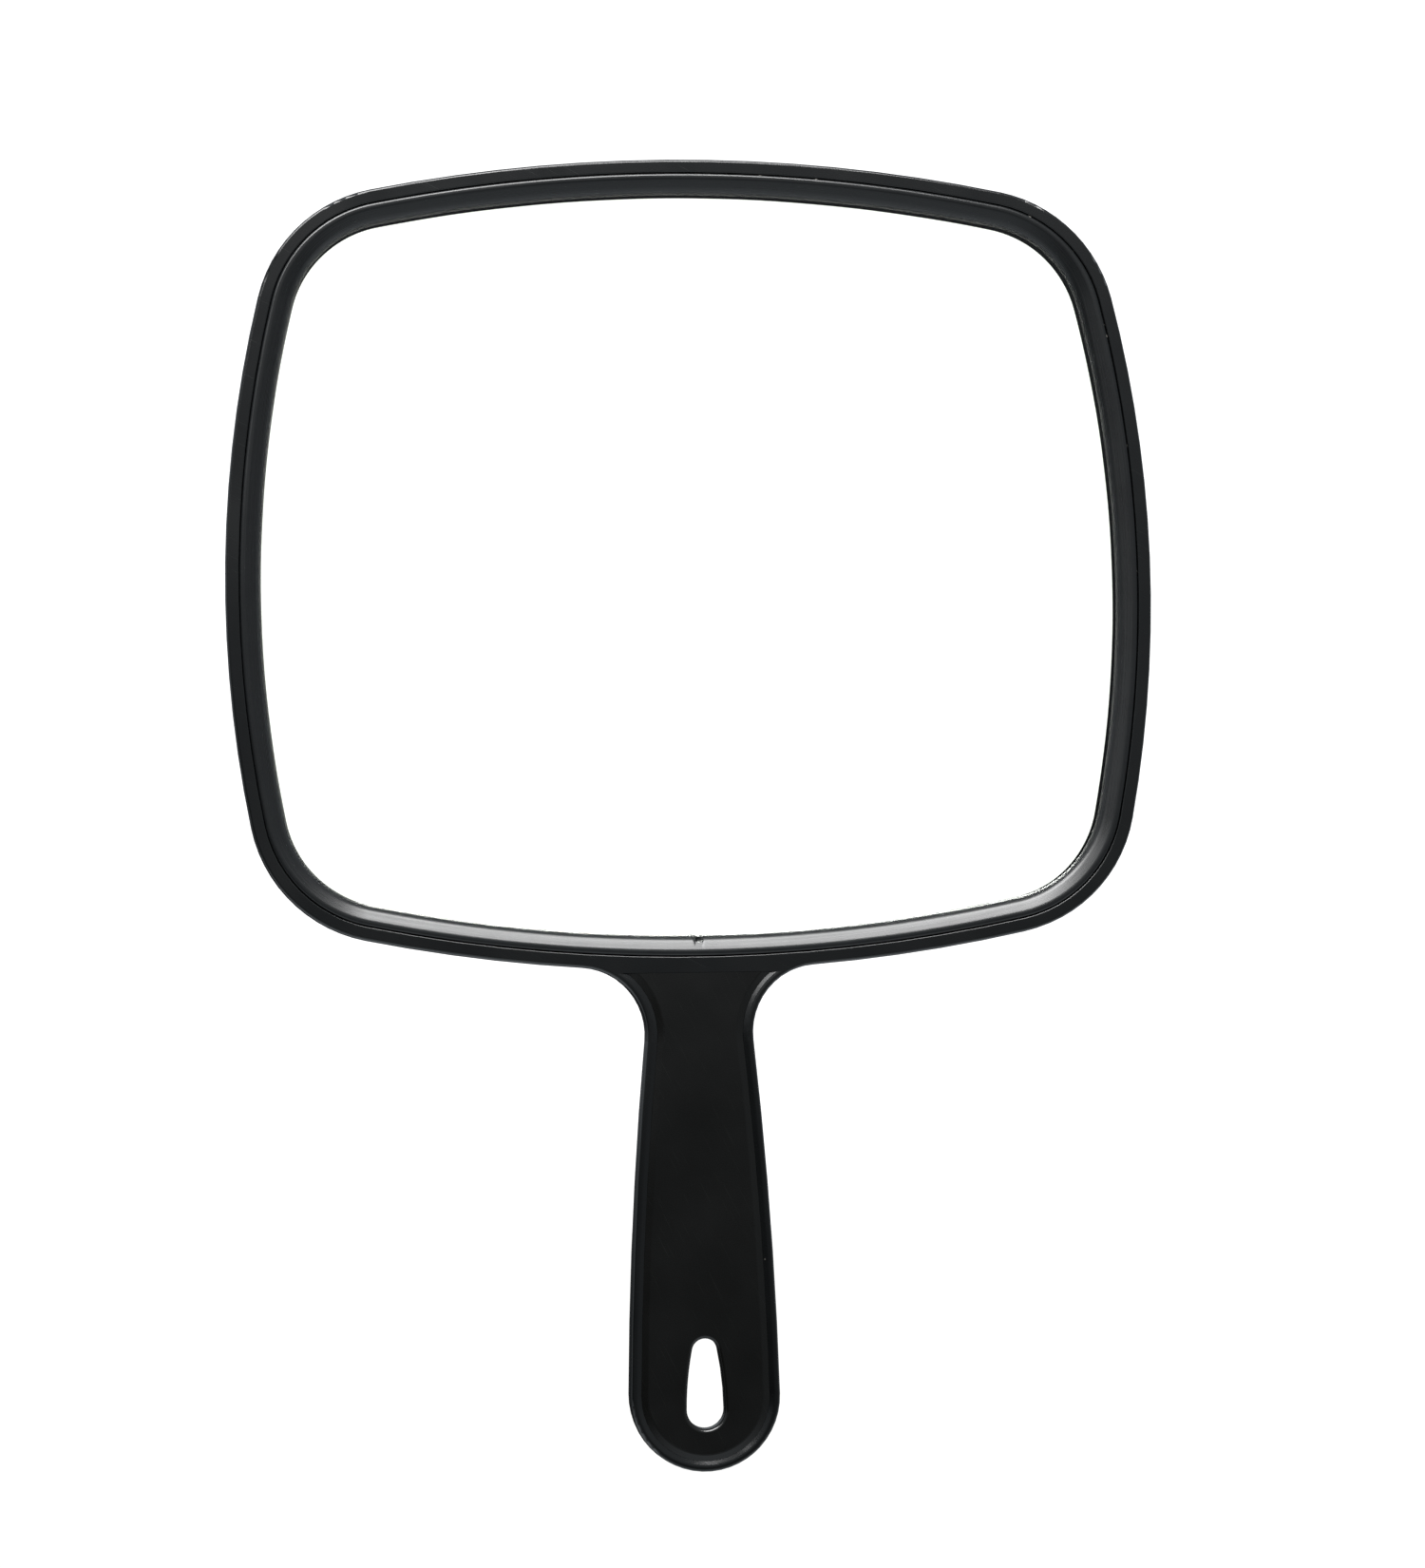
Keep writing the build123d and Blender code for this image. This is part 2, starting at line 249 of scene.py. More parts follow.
def headArcs():
    # centre, radius, and first and last angle of each arc, counter-clockwise from the bottom's
    # middle; the left half mirrors the right
    crownRadius, sideRadius = outline["crownRadius"], outline["sideRadius"]
    upper, lower = outline["upperCornerRadius"], outline["lowerCornerRadius"]
    top = np.array([0, outline["height"] - crownRadius])
    bottom = np.array([0, outline["bottom"] + crownRadius])
    side = np.array([outline["halfWidth"] - sideRadius, outline["widest"]])
    upperCentre = cornerCentre(top, side, crownRadius - upper, sideRadius - upper, -1)
    lowerCentre = cornerCentre(bottom, side, crownRadius - lower, sideRadius - lower, 1)
    centres = [bottom, lowerCentre, side, upperCentre, top]
    radii = [crownRadius, lower, sideRadius, upper, crownRadius]
    touches = [
        -math.pi / 2, angleOf(bottom, lowerCentre), angleOf(side, lowerCentre),
        angleOf(side, upperCentre), angleOf(top, upperCentre), math.pi / 2,
    ]
    right = list(zip(centres, radii, touches[:-1], touches[1:]))
    left = [
        (centre * (-1, 1), radius, math.pi - last, math.pi - first)
        for centre, radius, first, last in right[::-1]
    ]
    return right + left


arcs = headArcs()
arcLengths = [radius * (last - first) for _, radius, first, last in arcs]
arcStarts = np.concatenate([[0], np.cumsum(arcLengths)])
rimLength = arcStarts[-1]


def onRim(along, inset):
    # the outline by arc length: centre + (radius - inset)(cos a, sin a), where a grows from the
    # arc's first angle by length / radius
    index = np.clip(np.searchsorted(arcStarts, along, side="right") - 1, 0, len(arcs) - 1)
    centres = np.array([arc[0] for arc in arcs])[index]
    radii = np.array([arc[1] for arc in arcs])[index]
    angle = np.array([arc[2] for arc in arcs])[index] + (along - arcStarts[index]) / radii
    reach = radii - inset
    return centres[..., 0] + reach * np.cos(angle), centres[..., 1] + reach * np.sin(angle)


def rimStations(spacing):
    # lengths along the outline, evenly spaced from the bottom's middle
    return np.arange(0, rimLength - outline["closingRoom"], spacing)


def toFrame(x, height, depth):
    # millimetres of x, height above the handle's end and depth behind the front plane, to metres
    y = depth - outline["frontDepth"]
    return np.stack([x, y, height - outline["gripHeight"]], axis=-1) * mm


def closeSeams(mesh):
    # merges points that coincide, which closes seams and poles, and turns the faces outwards
    work = bmesh.new()
    work.from_mesh(mesh)
    bmesh.ops.remove_doubles(work, verts=work.verts, dist=mergeDistance)
    bmesh.ops.recalc_face_normals(work, faces=work.faces)
    work.to_mesh(mesh)
    work.free()


def gridMesh(name, points, across, along, sharpAngle):
    # a grid of points whose first parameter runs round the rim and closes on itself. The second is
    # closed by a last row that repeats the first, or ends in a pole where a row is one point. The
    # UV is the length along and the length across, in metres.
    stations, rows = points.shape[:2]
    index = np.arange(stations * rows).reshape(stations, rows)
    wrapped = np.vstack([index, index[:1]])
    quads = np.stack([
        wrapped[:-1, :-1], wrapped[:-1, 1:], wrapped[1:, 1:], wrapped[1:, :-1],
    ], axis=-1).reshape(-1, 4)
    mesh = bpy.data.meshes.new(name)
    mesh.from_pydata(points.reshape(-1, 3), [], quads.tolist())
    starts, ends = along, np.append(along[1:], rimLength)
    u = np.stack([
        np.repeat(lengths[:, None], rows - 1, 1) for lengths in (starts, starts, ends, ends)
    ], axis=-1)
    v = np.stack([across[:-1], across[1:], across[1:], across[:-1]], axis=-1)
    v = v[None].repeat(stations, 0)
    layer = mesh.uv_layers.new(name="lengths")
    layer.uv.foreach_set("vector", np.stack([u, v], axis=-1).ravel() * mm)
    mesh.shade_smooth()
    piece = bpy.data.objects.new(name, mesh)
    bpy.context.scene.collection.objects.link(piece)
    closeSeams(mesh)
    mesh.set_sharp_from_angle(angle=math.radians(sharpAngle))
    print(name, "made with", len(mesh.polygons), "faces")
    return piece


# Retaining ring: a skirt outside the glass, a flat crest, a bevel and a rolled lip, with a small
# notch in the lip at the bottom and twelve snap tabs on the skirt. Millimetres: insets from the
# outline, and depths behind the front plane.
ringShape = {
    "outer": 3.4,
    "crest": 4.8,
    "lip": 8.04,  # where the bevel would meet the lip's steep wall
    "inner": 8.5,
    "skirtInner": 4.8,
    "skirtDepth": 6.8,
    "glassDepth": 2.6,
    "bevelAngle": 20,
    "shoulderRadius": 0.8,
    "crestRadius": 2.0,
    "lipRadius": 2.7,
    "lipEdgeRadius": 0.05,
    "seatRadius": 0.1,
    "skirtInnerRadius": 0.15,
    "skirtOuterRadius": 0.3,
    "arcStep": 8,  # degrees
    "longRun": 0.3,  # a run longer than this and three tangent lengths gets spare points
    "spareGap": 0.06,
    "station": 1.05,
    "lipStart": 6.8,  # inset where the bevel begins to roll over
    "unevenness": 0.025,  # of the lip's edge, as moulded
    "waves": ((3, 1.0, 0.7), (11, 0.6, 2.1), (29, 0.5, 0.0)),  # turns round the rim, size, phase
    "burrs": ((-1.75, 0.12, 0.14), (-2.5, 0.08, 0.12)),  # place, size and half width
    "fineStations": (-3.0, 2.0, 0.09),  # closer ones past the notch and the burrs
    "notchHalfWidth": 0.85,
    "notchLength": 0.35,
    "notchStart": 6.95,  # inset where the dent's wall drops
    "notchRamp": 0.25,
    "notchDepth": 2.25,
    "tabCount": 12,
    "tabLength": 8.0,
    "tabReach": 0.45,
    "tabDepths": (4.98, 5.02, 5.88, 5.92),
    "tolerance": 0.01,
    "sharpAngle": 42,
}


def roundedSection(corners, shape):
    # a closed section: straight runs between corners, each corner an arc that touches both runs,
    # its tangent length radius x tan(turn / 2), with a spare point on each long run beside it
    corners = np.array(corners, float)
    places, radii = corners[:, :2], corners[:, 2]
    rows = []
    for index, (corner, radius) in enumerate(zip(places, radii)):
        before = places[index - 1] - corner
        after = places[(index + 1) % len(places)] - corner
        roomBefore, roomAfter = np.hypot(*before), np.hypot(*after)
        before, after = before / roomBefore, after / roomAfter
        turn = math.pi - math.acos(np.clip(before @ after, -1, 1))
        reach = radius * math.tan(turn / 2)
        inwards = (before + after) / np.hypot(*(before + after))
        centre = corner + inwards * radius / math.cos(turn / 2)
        count = max(2, math.ceil(math.degrees(turn) / shape["arcStep"]))
        share = np.linspace(0, 1, count + 1)[:, None]
        start, end = corner + before * reach - centre, corner + after * reach - centre
        swept = np.sin((1 - share) * turn) * start + np.sin(share * turn) * end
        if roomBefore > 3 * reach + shape["longRun"]:
            rows.append(corner + before * (reach + shape["spareGap"]))
        rows.extend(centre + swept / math.sin(turn))
        if roomAfter > 3 * reach + shape["longRun"]:
            rows.append(corner + after * (reach + shape["spareGap"]))
    return np.array(rows + rows[:1])


def ringSection():
    # (inset, depth) of every row, from the outer shoulder over the crest, down the bevel and the
    # lip, back under the glass's edge and round the skirt; the tabs' rows are on the outer wall
    shape = ringShape
    lipDepth = (shape["lip"] - shape["crest"]) * math.tan(math.radians(shape["bevelAngle"]))
    section = roundedSection([
        (shape["outer"], 0, shape["shoulderRadius"]),
        (shape["crest"], 0, shape["crestRadius"]),
        (shape["lip"], lipDepth, shape["lipRadius"]),
        (shape["inner"], shape["glassDepth"], shape["lipEdgeRadius"]),
        (shape["skirtInner"], shape["glassDepth"], shape["seatRadius"]),
        (shape["skirtInner"], shape["skirtDepth"], shape["skirtInnerRadius"]),
        (shape["outer"], shape["skirtDepth"], shape["skirtOuterRadius"]),
    ], shape)
    tabRows = [(shape["outer"], depth) for depth in shape["tabDepths"][::-1]]
    return np.vstack([section[:-1], tabRows, section[-1:]])


def makeRing():
    # the section carried along the outline. The lip's inset gains a sum of sines and two burrs of
    # e to the power -(distance / half width) squared. The notch then draws the lip back by its
    # length and sinks the roll to its depth, both times e to the power -(distance / half width)
    # cubed. A tab is an arc's length of the outer wall moved outwards.
    shape = ringShape
    section = ringSection()
    near = np.arange(*shape["fineStations"]) % rimLength
    along = np.unique(np.concatenate([rimStations(shape["station"]), near]))
    inset, depth = [np.repeat(column[None], len(along), 0) for column in section.T]
    beside = ((along + rimLength / 2) % rimLength - rimLength / 2)[:, None]

    turn = 2 * np.pi * along[:, None] / rimLength
    swell = sum(size * np.sin(count * turn + phase) for count, size, phase in shape["waves"])
    burrs = sum(
        size * np.exp(-((beside - place) / halfWidth) ** 2)
        for place, size, halfWidth in shape["burrs"]
    )
    lipShare = (inset - shape["lipStart"]) / (shape["inner"] - shape["lipStart"])
    onLip = np.clip(lipShare, 0, 1)
    inset = inset + (shape["unevenness"] * swell + burrs) * onLip ** 2

    dent = np.exp(-np.abs(beside / shape["notchHalfWidth"]) ** 3)
    sunk = np.clip((inset - shape["notchStart"]) / shape["notchRamp"], 0, 1)
    sunk = sunk * (depth < shape["notchDepth"])
    depth = depth + dent * sunk * (shape["notchDepth"] - depth)
    inset = inset - dent * shape["notchLength"] * onLip ** 2

    x, height = onRim(along[:, None], inset)
    above = height - outline["widest"]
    around, apart = np.arctan2(above, x), 2 * np.pi / shape["tabCount"]
    spoke = (np.floor(around / apart) + 0.5) * apart
    aside = np.abs(np.hypot(x, above) * np.sin(around - spoke))
    isTab = (aside < shape["tabLength"] / 2) & (inset < shape["outer"] + shape["tolerance"])
    isTab &= depth > shape["tabDepths"][0] + shape["tolerance"]
    isTab &= depth < shape["tabDepths"][3] - shape["tolerance"]
    inset = inset - shape["tabReach"] * isTab
    x, height = onRim(along[:, None], inset)
    across = np.concatenate([[0], np.cumsum(np.hypot(*np.diff(section, axis=0).T))])
    points = toFrame(x, height, depth)
    return gridMesh("bevelled_ring", points, across, along, shape["sharpAngle"])


ring = makeRing()
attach(ring, "root")
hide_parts("retaining_ring")

# Glass plate in millimetres: flat front and back, its edges ground to a small arris. The back
# stops a hair short of the silver so that the two faces don't share a place.
glassShape = {
    "inset": 4.95,
    "front": 2.6,
    "back": 5.58,
    "arris": 0.3,
    "arrisSteps": 4,
    "margin": 0.9,  # width of the outermost flat ring of faces
    "rings": 6,
    "station": 1.4,
    "sharpAngle": 30,
}


def makeGlass():
    # rows from the front's middle to the edge, round the arris, along the ground side, and back to
    # the middle behind; a flat row is middle + share x (edge - middle)
    shape = glassShape
    arris, step = shape["arris"], np.linspace(0, np.pi / 2, shape["arrisSteps"] + 1)
    insets = shape["inset"] + arris - arris * np.sin(step)
    depths = shape["front"] + arris - arris * np.cos(step)
    insets = np.concatenate([[shape["inset"] + shape["margin"]], insets])
    depths = np.concatenate([[shape["front"]], depths])
    insets = np.concatenate([insets, insets[::-1]])
    depths = np.concatenate([depths, shape["front"] + shape["back"] - depths[::-1]])
    along = rimStations(shape["station"])
    x, height = onRim(along[:, None], insets[None])
    shares = np.linspace(0, 1, shape["rings"] + 1)[:-1]
    middle = outline["widest"]
    frontX, backX = x[:, :1] * shares, x[:, -1:] * shares[::-1]
    frontHeight = middle + (height[:, :1] - middle) * shares
    backHeight = middle + (height[:, -1:] - middle) * shares[::-1]
    x = np.hstack([frontX, x, backX])
    height = np.hstack([frontHeight, height, backHeight])
    frontDepths = np.full(len(shares), shape["front"])
    backDepths = np.full(len(shares), shape["back"])
    depth = np.concatenate([frontDepths, depths, backDepths])
    depth = np.repeat(depth[None], len(along), 0)
    across = np.arange(x.shape[1]) * 1.0  # row numbers, as no pattern follows this piece's rows
    return gridMesh("glass_plate", toFrame(x, height, depth), across, along, shape["sharpAngle"])


glass = makeGlass()
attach(glass, "root")
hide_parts("mirror_glass")


def mouldedAbs(name, look):
    # black ABS as it comes from a spark-eroded mould: nearly black with a dull sheen, a fine grain
    # that softens reflections, shinier where hands rub it, hairline scratches and a little dust
    material, tree, output = newMaterial(name)
    place = addNode(tree, "ShaderNodeTexCoord").outputs["Object"]
    grain = addNode(tree, "ShaderNodeTexNoise", {
        "Vector": place, "Scale": 1 / (look["grain"] * mm), "Detail": 2.0,
    })
    mottle = addNode(tree, "ShaderNodeTexNoise", {
        "Vector": place, "Scale": 1 / (look["mottle"] * mm), "Detail": 3.0,
    })
    scratchLength, scratchWidth = look["scratchLength"] * mm, look["scratchWidth"] * mm
    turned = addNode(tree, "ShaderNodeMapping", {
        "Vector": place, "Rotation": (0, math.radians(look["scratchTurn"]), 0),
        "Scale": (scratchLength, scratchLength, scratchWidth),
    }, vector_type="TEXTURE")
    streaks = addNode(tree, "ShaderNodeTexNoise", {
        "Vector": turned.outputs[0], "Scale": 1.0, "Detail": 1.0,
    })
    scratches = addNode(tree, "ShaderNodeMapRange", {
        "Value": streaks.outputs[0], "From Min": look["scratchFrom"],
        "From Max": look["scratchFrom"] + look["scratchFade"],
    })
    height = addNode(tree, "ShaderNodeSeparateXYZ", {0: place}).outputs["Z"]
    held = addNode(tree, "ShaderNodeMapRange", {
        "Value": height, "From Min": look["gripTop"] * mm, "From Max": look["gripBottom"] * mm,
        "To Min": 0.0, "To Max": look["handPolish"],
    }, interpolation_type="SMOOTHSTEP")
    satin = addNode(tree, "ShaderNodeMapRange", {
        "Value": mottle.outputs[0], "From Min": look["mottleFrom"], "From Max": look["mottleTo"],
        "To Min": look["roughness"] - look["shinier"], "To Max": look["roughness"] + look["duller"],
    })
    rubbed = addNode(tree, "ShaderNodeMath", {
        0: satin.outputs[0], 1: held.outputs[0],
    }, operation="SUBTRACT")
    roughness = addNode(tree, "ShaderNodeMath", {
        0: scratches.outputs[0], 1: look["scratchDulling"], 2: rubbed.outputs[0],
    }, operation="MULTIPLY_ADD")
    flecks = addNode(tree, "ShaderNodeTexVoronoi", {
        "Vector": place, "Scale": 1 / (look["dustSpacing"] * mm),
    })
    nearFleck = addNode(tree, "ShaderNodeMapRange", {
        "Value": flecks.outputs["Distance"], "From Min": look["dustSize"],
        "From Max": look["dustSize"] * look["dustCore"],
    })
    draw = addNode(tree, "ShaderNodeSeparateColor", {0: flecks.outputs["Color"]}).outputs[0]
    chosen = addNode(tree, "ShaderNodeMath", {
        0: draw, 1: look["dustShare"],
    }, operation="LESS_THAN")
    dust = addNode(tree, "ShaderNodeMath", {
        0: nearFleck.outputs[0], 1: chosen.outputs[0],
    }, operation="MULTIPLY")
    black = addNode(tree, "ShaderNodeMix", {
        "Factor": mottle.outputs[0], "A": linearColour(look["colour"]),
        "B": linearColour(look["colourLight"]),
    }, data_type="RGBA")
    dusty = addNode(tree, "ShaderNodeMix", {
        "Factor": dust.outputs[0], "A": black.outputs[2], "B": linearColour(look["dustColour"]),
    }, data_type="RGBA")
    bumpGrain = addNode(tree, "ShaderNodeBump", {
        "Height": grain.outputs[0], "Strength": look["grainStrength"],
        "Distance": look["grainHeight"] * mm,
    })
    bumpScratch = addNode(tree, "ShaderNodeBump", {
        "Height": scratches.outputs[0], "Strength": look["scratchStrength"],
        "Distance": look["scratchDepth"] * mm, "Normal": bumpGrain.outputs[0],
    }, invert=True)
    shader = addNode(tree, "ShaderNodeBsdfPrincipled", {
        "Base Color": dusty.outputs[2], "Roughness": roughness.outputs[0], "IOR": look["ior"],
        "Normal": bumpScratch.outputs[0],
    })
    tree.links.new(shader.outputs[0], output.inputs[0])
    return material


# Millimetres. The grain is drawn about twice as coarse as the real 0.15 mm so that it shows. The
# dust's size is a share of its spacing, and its share is how many of the places have a fleck.
shellLook = {
    "colour": "#070809",
    "colourLight": "#0b0c0c",
    "ior": 1.53,
    "roughness": 0.24,
    "shinier": 0.03,  # how far the mottle takes the roughness down and up
    "duller": 0.04,
    "mottle": 22,
    "mottleFrom": 0.3,
    "mottleTo": 0.7,
    "grain": 0.32,
    "grainHeight": 0.02,
    "grainStrength": 0.35,
    "scratchTurn": 28,
    "scratchLength": 16,
    "scratchWidth": 0.22,
    "scratchFrom": 0.72,  # higher makes fewer scratches
    "scratchFade": 0.06,
    "scratchDulling": 0.08,
    "scratchDepth": 0.006,
    "scratchStrength": 0.25,
    "gripTop": 62,
    "gripBottom": 20,
    "handPolish": 0.05,
    "dustSpacing": 7,
    "dustSize": 0.035,
    "dustCore": 0.6,
    "dustShare": 0.12,
    "dustColour": "#3f3d39",
}
panelLook = {
    **shellLook,
    "colour": "#060605",
    "colourLight": "#090908",
    "roughness": 0.25,
    "mottle": 17,
    "scratchTurn": 64,
    "scratchLength": 11,
    "scratchWidth": 0.2,
    "scratchFrom": 0.7,
    "handPolish": 0.04,
    "dustSpacing": 6,
}
dress(nodes["back_shell"], mouldedAbs("black ABS, spark-textured", shellLook))
dress(nodes["handle_panel"], mouldedAbs("black ABS, satin", panelLook))

# Ring plastic: smooth semi-gloss black ABS. The polished mould leaves long faint lines that
# follow the bevel, so its highlight has soft streaks, and dust sits in the seam from low on the
# right side round to the top's middle. Millimetres; the dust's edge and core are shares of its
# spacing.
ringLook = {
    "colour": "#0c0d0e",
    "colourLight": "#101213",
    "ior": 1.53,
    "roughness": 0.24,
    "shinier": 0.02,  # how far the lines take the roughness down and up
    "duller": 0.05,
    "lineLength": 45,
    "lineWidth": 0.28,
    "lineFrom": 0.3,
    "lineTo": 0.7,
    "lineHeight": 0.004,
    "lineStrength": 0.5,
    "blotch": 9,
    "blotchDulling": 0.06,
    "grain": 0.3,
    "grainHeight": 0.006,
    "grainStrength": 0.3,
    "dustSpacing": 2.6,
    "dustEdge": 0.17,
    "dustCore": 0.1,
    "dustFrom": 150,  # along the rim from the bottom's middle
    "dustTo": 390,
    "dustSeam": 0.75,  # how far across from the skirt the dust reaches
    "dustColour": "#8b8983",
}
material, tree, output = newMaterial("black ABS, semi-gloss")
surface = addNode(tree, "ShaderNodeUVMap", uv_map="lengths").outputs[0]
place = addNode(tree, "ShaderNodeTexCoord").outputs["Object"]
stretched = addNode(tree, "ShaderNodeMapping", {
    "Vector": surface,
    "Scale": (1 / (ringLook["lineLength"] * mm), 1 / (ringLook["lineWidth"] * mm), 1),
})
lines = addNode(tree, "ShaderNodeTexNoise", {
    "Vector": stretched.outputs[0], "Scale": 1.0, "Detail": 3.0,
})
blotches = addNode(tree, "ShaderNodeTexNoise", {
    "Vector": place, "Scale": 1 / (ringLook["blotch"] * mm), "Detail": 3.0,
})
grain = addNode(tree, "ShaderNodeTexNoise", {
    "Vector": place, "Scale": 1 / (ringLook["grain"] * mm), "Detail": 2.0,
})
lined = addNode(tree, "ShaderNodeMapRange", {
    "Value": lines.outputs[0], "From Min": ringLook["lineFrom"], "From Max": ringLook["lineTo"],
    "To Min": ringLook["roughness"] - ringLook["shinier"],
    "To Max": ringLook["roughness"] + ringLook["duller"],
})
roughness = addNode(tree, "ShaderNodeMath", {
    0: blotches.outputs[0], 1: ringLook["blotchDulling"], 2: lined.outputs[0],
}, operation="MULTIPLY_ADD")
lineBump = addNode(tree, "ShaderNodeBump", {
    "Height": lines.outputs[0], "Strength": ringLook["lineStrength"],
    "Distance": ringLook["lineHeight"] * mm,
})
grainBump = addNode(tree, "ShaderNodeBump", {
    "Height": grain.outputs[0], "Strength": ringLook["grainStrength"],
    "Distance": ringLook["grainHeight"] * mm, "Normal": lineBump.outputs[0],
})
onSurface = addNode(tree, "ShaderNodeSeparateXYZ", {0: surface})
flecks = addNode(tree, "ShaderNodeTexVoronoi", {
    "Vector": place, "Scale": 1 / (ringLook["dustSpacing"] * mm),
})
nearFleck = addNode(tree, "ShaderNodeMapRange", {
    "Value": flecks.outputs["Distance"], "From Min": ringLook["dustEdge"],
    "From Max": ringLook["dustCore"],
})
inStretch = addNode(tree, "ShaderNodeMath", {
    0: onSurface.outputs[0], 1: (ringLook["dustFrom"] + ringLook["dustTo"]) / 2 * mm,
    2: (ringLook["dustTo"] - ringLook["dustFrom"]) / 2 * mm,
}, operation="COMPARE")
inSeam = addNode(tree, "ShaderNodeMath", {
    0: onSurface.outputs[1], 1: ringLook["dustSeam"] * mm,
}, operation="LESS_THAN")
where = addNode(tree, "ShaderNodeMath", {
    0: inStretch.outputs[0], 1: inSeam.outputs[0],
}, operation="MULTIPLY")
dust = addNode(tree, "ShaderNodeMath", {
    0: nearFleck.outputs[0], 1: where.outputs[0],
}, operation="MULTIPLY")
black = addNode(tree, "ShaderNodeMix", {
    "Factor": blotches.outputs[0], "A": linearColour(ringLook["colour"]),
    "B": linearColour(ringLook["colourLight"]),
}, data_type="RGBA")
dusty = addNode(tree, "ShaderNodeMix", {
    "Factor": dust.outputs[0], "A": black.outputs[2], "B": linearColour(ringLook["dustColour"]),
}, data_type="RGBA")
shader = addNode(tree, "ShaderNodeBsdfPrincipled", {
    "Base Color": dusty.outputs[2], "Roughness": roughness.outputs[0], "IOR": ringLook["ior"],
    "Normal": grainBump.outputs[0],
})
tree.links.new(shader.outputs[0], output.inputs[0])
dress(ring, material)

# Float glass: clear with a breath of green, and wipe marks that only just dull it
glassLook = {
    "colour": "#fdfffd",
    "ior": 1.52,
    "roughness": 0.012,
    "wipeLength": 60,
    "wipeWidth": 5,
    "wipeTurn": 35,
    "wipeFrom": 0.5,
    "wipeTo": 0.75,
}
material, tree, output = newMaterial("clear float glass")
place = addNode(tree, "ShaderNodeTexCoord").outputs["Object"]
turned = addNode(tree, "ShaderNodeMapping", {
    "Vector": place, "Rotation": (0, math.radians(glassLook["wipeTurn"]), 0),
    "Scale": (glassLook["wipeLength"] * mm, 1, glassLook["wipeWidth"] * mm),
}, vector_type="TEXTURE")
wipes = addNode(tree, "ShaderNodeTexNoise", {
    "Vector": turned.outputs[0], "Scale": 1.0, "Detail": 4.0,
})
dulled = addNode(tree, "ShaderNodeMapRange", {
    "Value": wipes.outputs[0], "From Min": glassLook["wipeFrom"], "From Max": glassLook["wipeTo"],
    "To Min": 0.0, "To Max": glassLook["roughness"],
})
shader = addNode(tree, "ShaderNodeBsdfPrincipled", {
    "Base Color": linearColour(glassLook["colour"]), "Roughness": dulled.outputs[0],
    "IOR": glassLook["ior"], "Transmission Weight": 1.0,
})
tree.links.new(shader.outputs[0], output.inputs[0])
dress(glass, material)

# Silvering: a wet-deposited mirror film, bright and even, with the faintest warm clouding
silverLook = {"colour": "#fefefd", "clouded": "#fbfbf8", "cloud": 35}
material, tree, output = newMaterial("silvering")
place = addNode(tree, "ShaderNodeTexCoord").outputs["Object"]
clouds = addNode(tree, "ShaderNodeTexNoise", {
    "Vector": place, "Scale": 1 / (silverLook["cloud"] * mm), "Detail": 2.0,
})
film = addNode(tree, "ShaderNodeMix", {
    "Factor": clouds.outputs[0], "A": linearColour(silverLook["colour"]),
    "B": linearColour(silverLook["clouded"]),
}, data_type="RGBA")
shader = addNode(tree, "ShaderNodeBsdfPrincipled", {
    "Base Color": film.outputs[2], "Metallic": 1.0, "Roughness": 0.0,
})
tree.links.new(shader.outputs[0], output.inputs[0])
dress(nodes["silver_layer"], material)

# Mirror backing paint: curtain-coated alkyd, matt grey-blue with a shallow orange peel
paintLook = {
    "colour": "#5d6970",
    "colourLight": "#6b767b",
    "ior": 1.5,
    "roughness": (0.5, 0.7),
    "patch": 14,
    "peel": 1.6,
    "peelHeight": 0.02,
    "peelStrength": 0.5,
}
material, tree, output = newMaterial("mirror backing paint")
place = addNode(tree, "ShaderNodeTexCoord").outputs["Object"]
peel = addNode(tree, "ShaderNodeTexNoise", {
    "Vector": place, "Scale": 1 / (paintLook["peel"] * mm), "Detail": 2.0,
})
patches = addNode(tree, "ShaderNodeTexNoise", {
    "Vector": place, "Scale": 1 / (paintLook["patch"] * mm), "Detail": 4.0,
})
coat = addNode(tree, "ShaderNodeMix", {
    "Factor": patches.outputs[0], "A": linearColour(paintLook["colour"]),
    "B": linearColour(paintLook["colourLight"]),
}, data_type="RGBA")
bump = addNode(tree, "ShaderNodeBump", {
    "Height": peel.outputs[0], "Strength": paintLook["peelStrength"],
    "Distance": paintLook["peelHeight"] * mm,
})
dull = addNode(tree, "ShaderNodeMapRange", {
    "Value": patches.outputs[0], "To Min": paintLook["roughness"][0],
    "To Max": paintLook["roughness"][1],
})
shader = addNode(tree, "ShaderNodeBsdfPrincipled", {
    "Base Color": coat.outputs[2], "Roughness": dull.outputs[0], "IOR": paintLook["ior"],
    "Normal": bump.outputs[0],
})
tree.links.new(shader.outputs[0], output.inputs[0])
dress(nodes["backing_paint"], material)

# Closed-cell polyethylene foam: off-white, matt, with small bubbles cut open at the surface
foamLook = {
    "colour": "#dddcd8",
    "shadow": "#b9b8b3",
    "ior": 1.5,
    "roughness": (0.85, 0.7),
    "cell": 0.7,
    "cellDepth": 0.12,
    "cellStrength": 0.7,
    "glow": 0.1,
    "glowReach": 1.0,
}
material, tree, output = newMaterial("closed-cell foam")
place = addNode(tree, "ShaderNodeTexCoord").outputs["Object"]
cells = addNode(tree, "ShaderNodeTexVoronoi", {
    "Vector": place, "Scale": 1 / (foamLook["cell"] * mm),
}).outputs["Distance"]
shade = addNode(tree, "ShaderNodeMix", {
    "Factor": cells, "A": linearColour(foamLook["shadow"]), "B": linearColour(foamLook["colour"]),
}, data_type="RGBA")
bump = addNode(tree, "ShaderNodeBump", {
    "Height": cells, "Strength": foamLook["cellStrength"], "Distance": foamLook["cellDepth"] * mm,
})
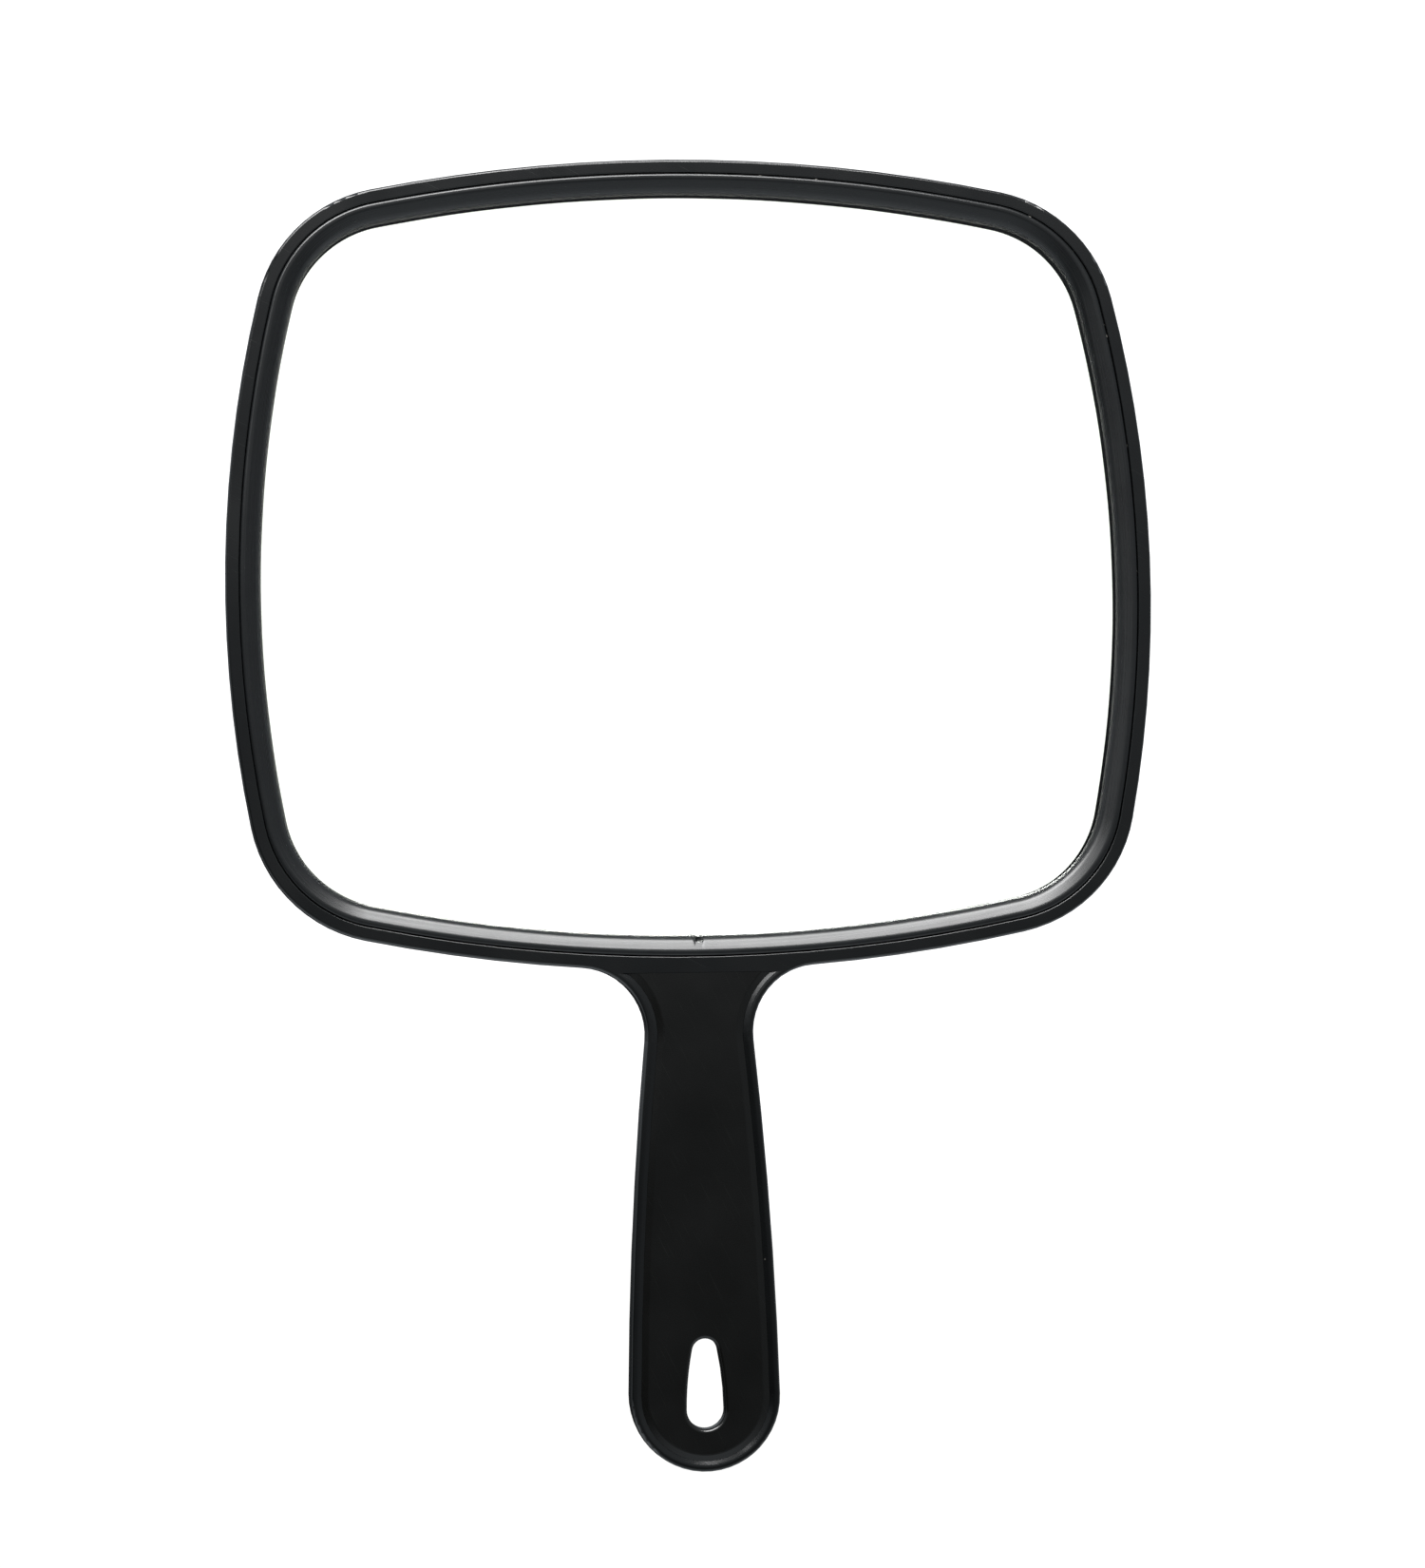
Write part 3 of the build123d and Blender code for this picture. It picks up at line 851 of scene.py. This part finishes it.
spread = addNode(tree, "ShaderNodeMapRange", {
    "Value": cells, "To Min": foamLook["roughness"][0], "To Max": foamLook["roughness"][1],
})
shader = addNode(tree, "ShaderNodeBsdfPrincipled", {
    "Base Color": shade.outputs[2], "Roughness": spread.outputs[0], "IOR": foamLook["ior"],
    "Normal": bump.outputs[0], "Subsurface Weight": foamLook["glow"],
    "Subsurface Radius": [foamLook["glowReach"] * mm] * 3, "Subsurface Scale": 1.0,
})
tree.links.new(shader.outputs[0], output.inputs[0])
dress(nodes["foam_pad"], material)

# Double-sided tissue tape: yellowish adhesive with short crossed paper fibres in it
tapeLook = {
    "colour": "#e3dcc6",
    "fibre": "#f1ecdd",
    "ior": 1.47,
    "roughness": (0.35, 0.6),
    "fibreTurns": (24, -38),
    "fibreLength": 5,
    "fibreWidth": 0.18,
    "fibreFrom": 0.55,
    "fibreTo": 0.75,
    "fibreHeight": 0.02,
    "fibreStrength": 0.4,
}
material, tree, output = newMaterial("tissue tape")
place = addNode(tree, "ShaderNodeTexCoord").outputs["Object"]
oneWay, otherWay = [
    addNode(tree, "ShaderNodeTexNoise", {"Vector": addNode(tree, "ShaderNodeMapping", {
        "Vector": place, "Rotation": (0, math.radians(turn), 0),
        "Scale": (tapeLook["fibreLength"] * mm, 1, tapeLook["fibreWidth"] * mm),
    }, vector_type="TEXTURE").outputs[0], "Scale": 1.0, "Detail": 1.0})
    for turn in tapeLook["fibreTurns"]
]
fibres = addNode(tree, "ShaderNodeMath", {
    0: oneWay.outputs[0], 1: otherWay.outputs[0],
}, operation="MAXIMUM")
shown = addNode(tree, "ShaderNodeMapRange", {
    "Value": fibres.outputs[0], "From Min": tapeLook["fibreFrom"],
    "From Max": tapeLook["fibreTo"],
})
sheet = addNode(tree, "ShaderNodeMix", {
    "Factor": shown.outputs[0], "A": linearColour(tapeLook["colour"]),
    "B": linearColour(tapeLook["fibre"]),
}, data_type="RGBA")
bump = addNode(tree, "ShaderNodeBump", {
    "Height": shown.outputs[0], "Strength": tapeLook["fibreStrength"],
    "Distance": tapeLook["fibreHeight"] * mm,
})
gloss = addNode(tree, "ShaderNodeMapRange", {
    "Value": shown.outputs[0], "To Min": tapeLook["roughness"][0],
    "To Max": tapeLook["roughness"][1],
})
shader = addNode(tree, "ShaderNodeBsdfPrincipled", {
    "Base Color": sheet.outputs[2], "Roughness": gloss.outputs[0], "IOR": tapeLook["ior"],
    "Normal": bump.outputs[0],
})
tree.links.new(shader.outputs[0], output.inputs[0])
dress(nodes["tape_strips"], material)
print("materials on")
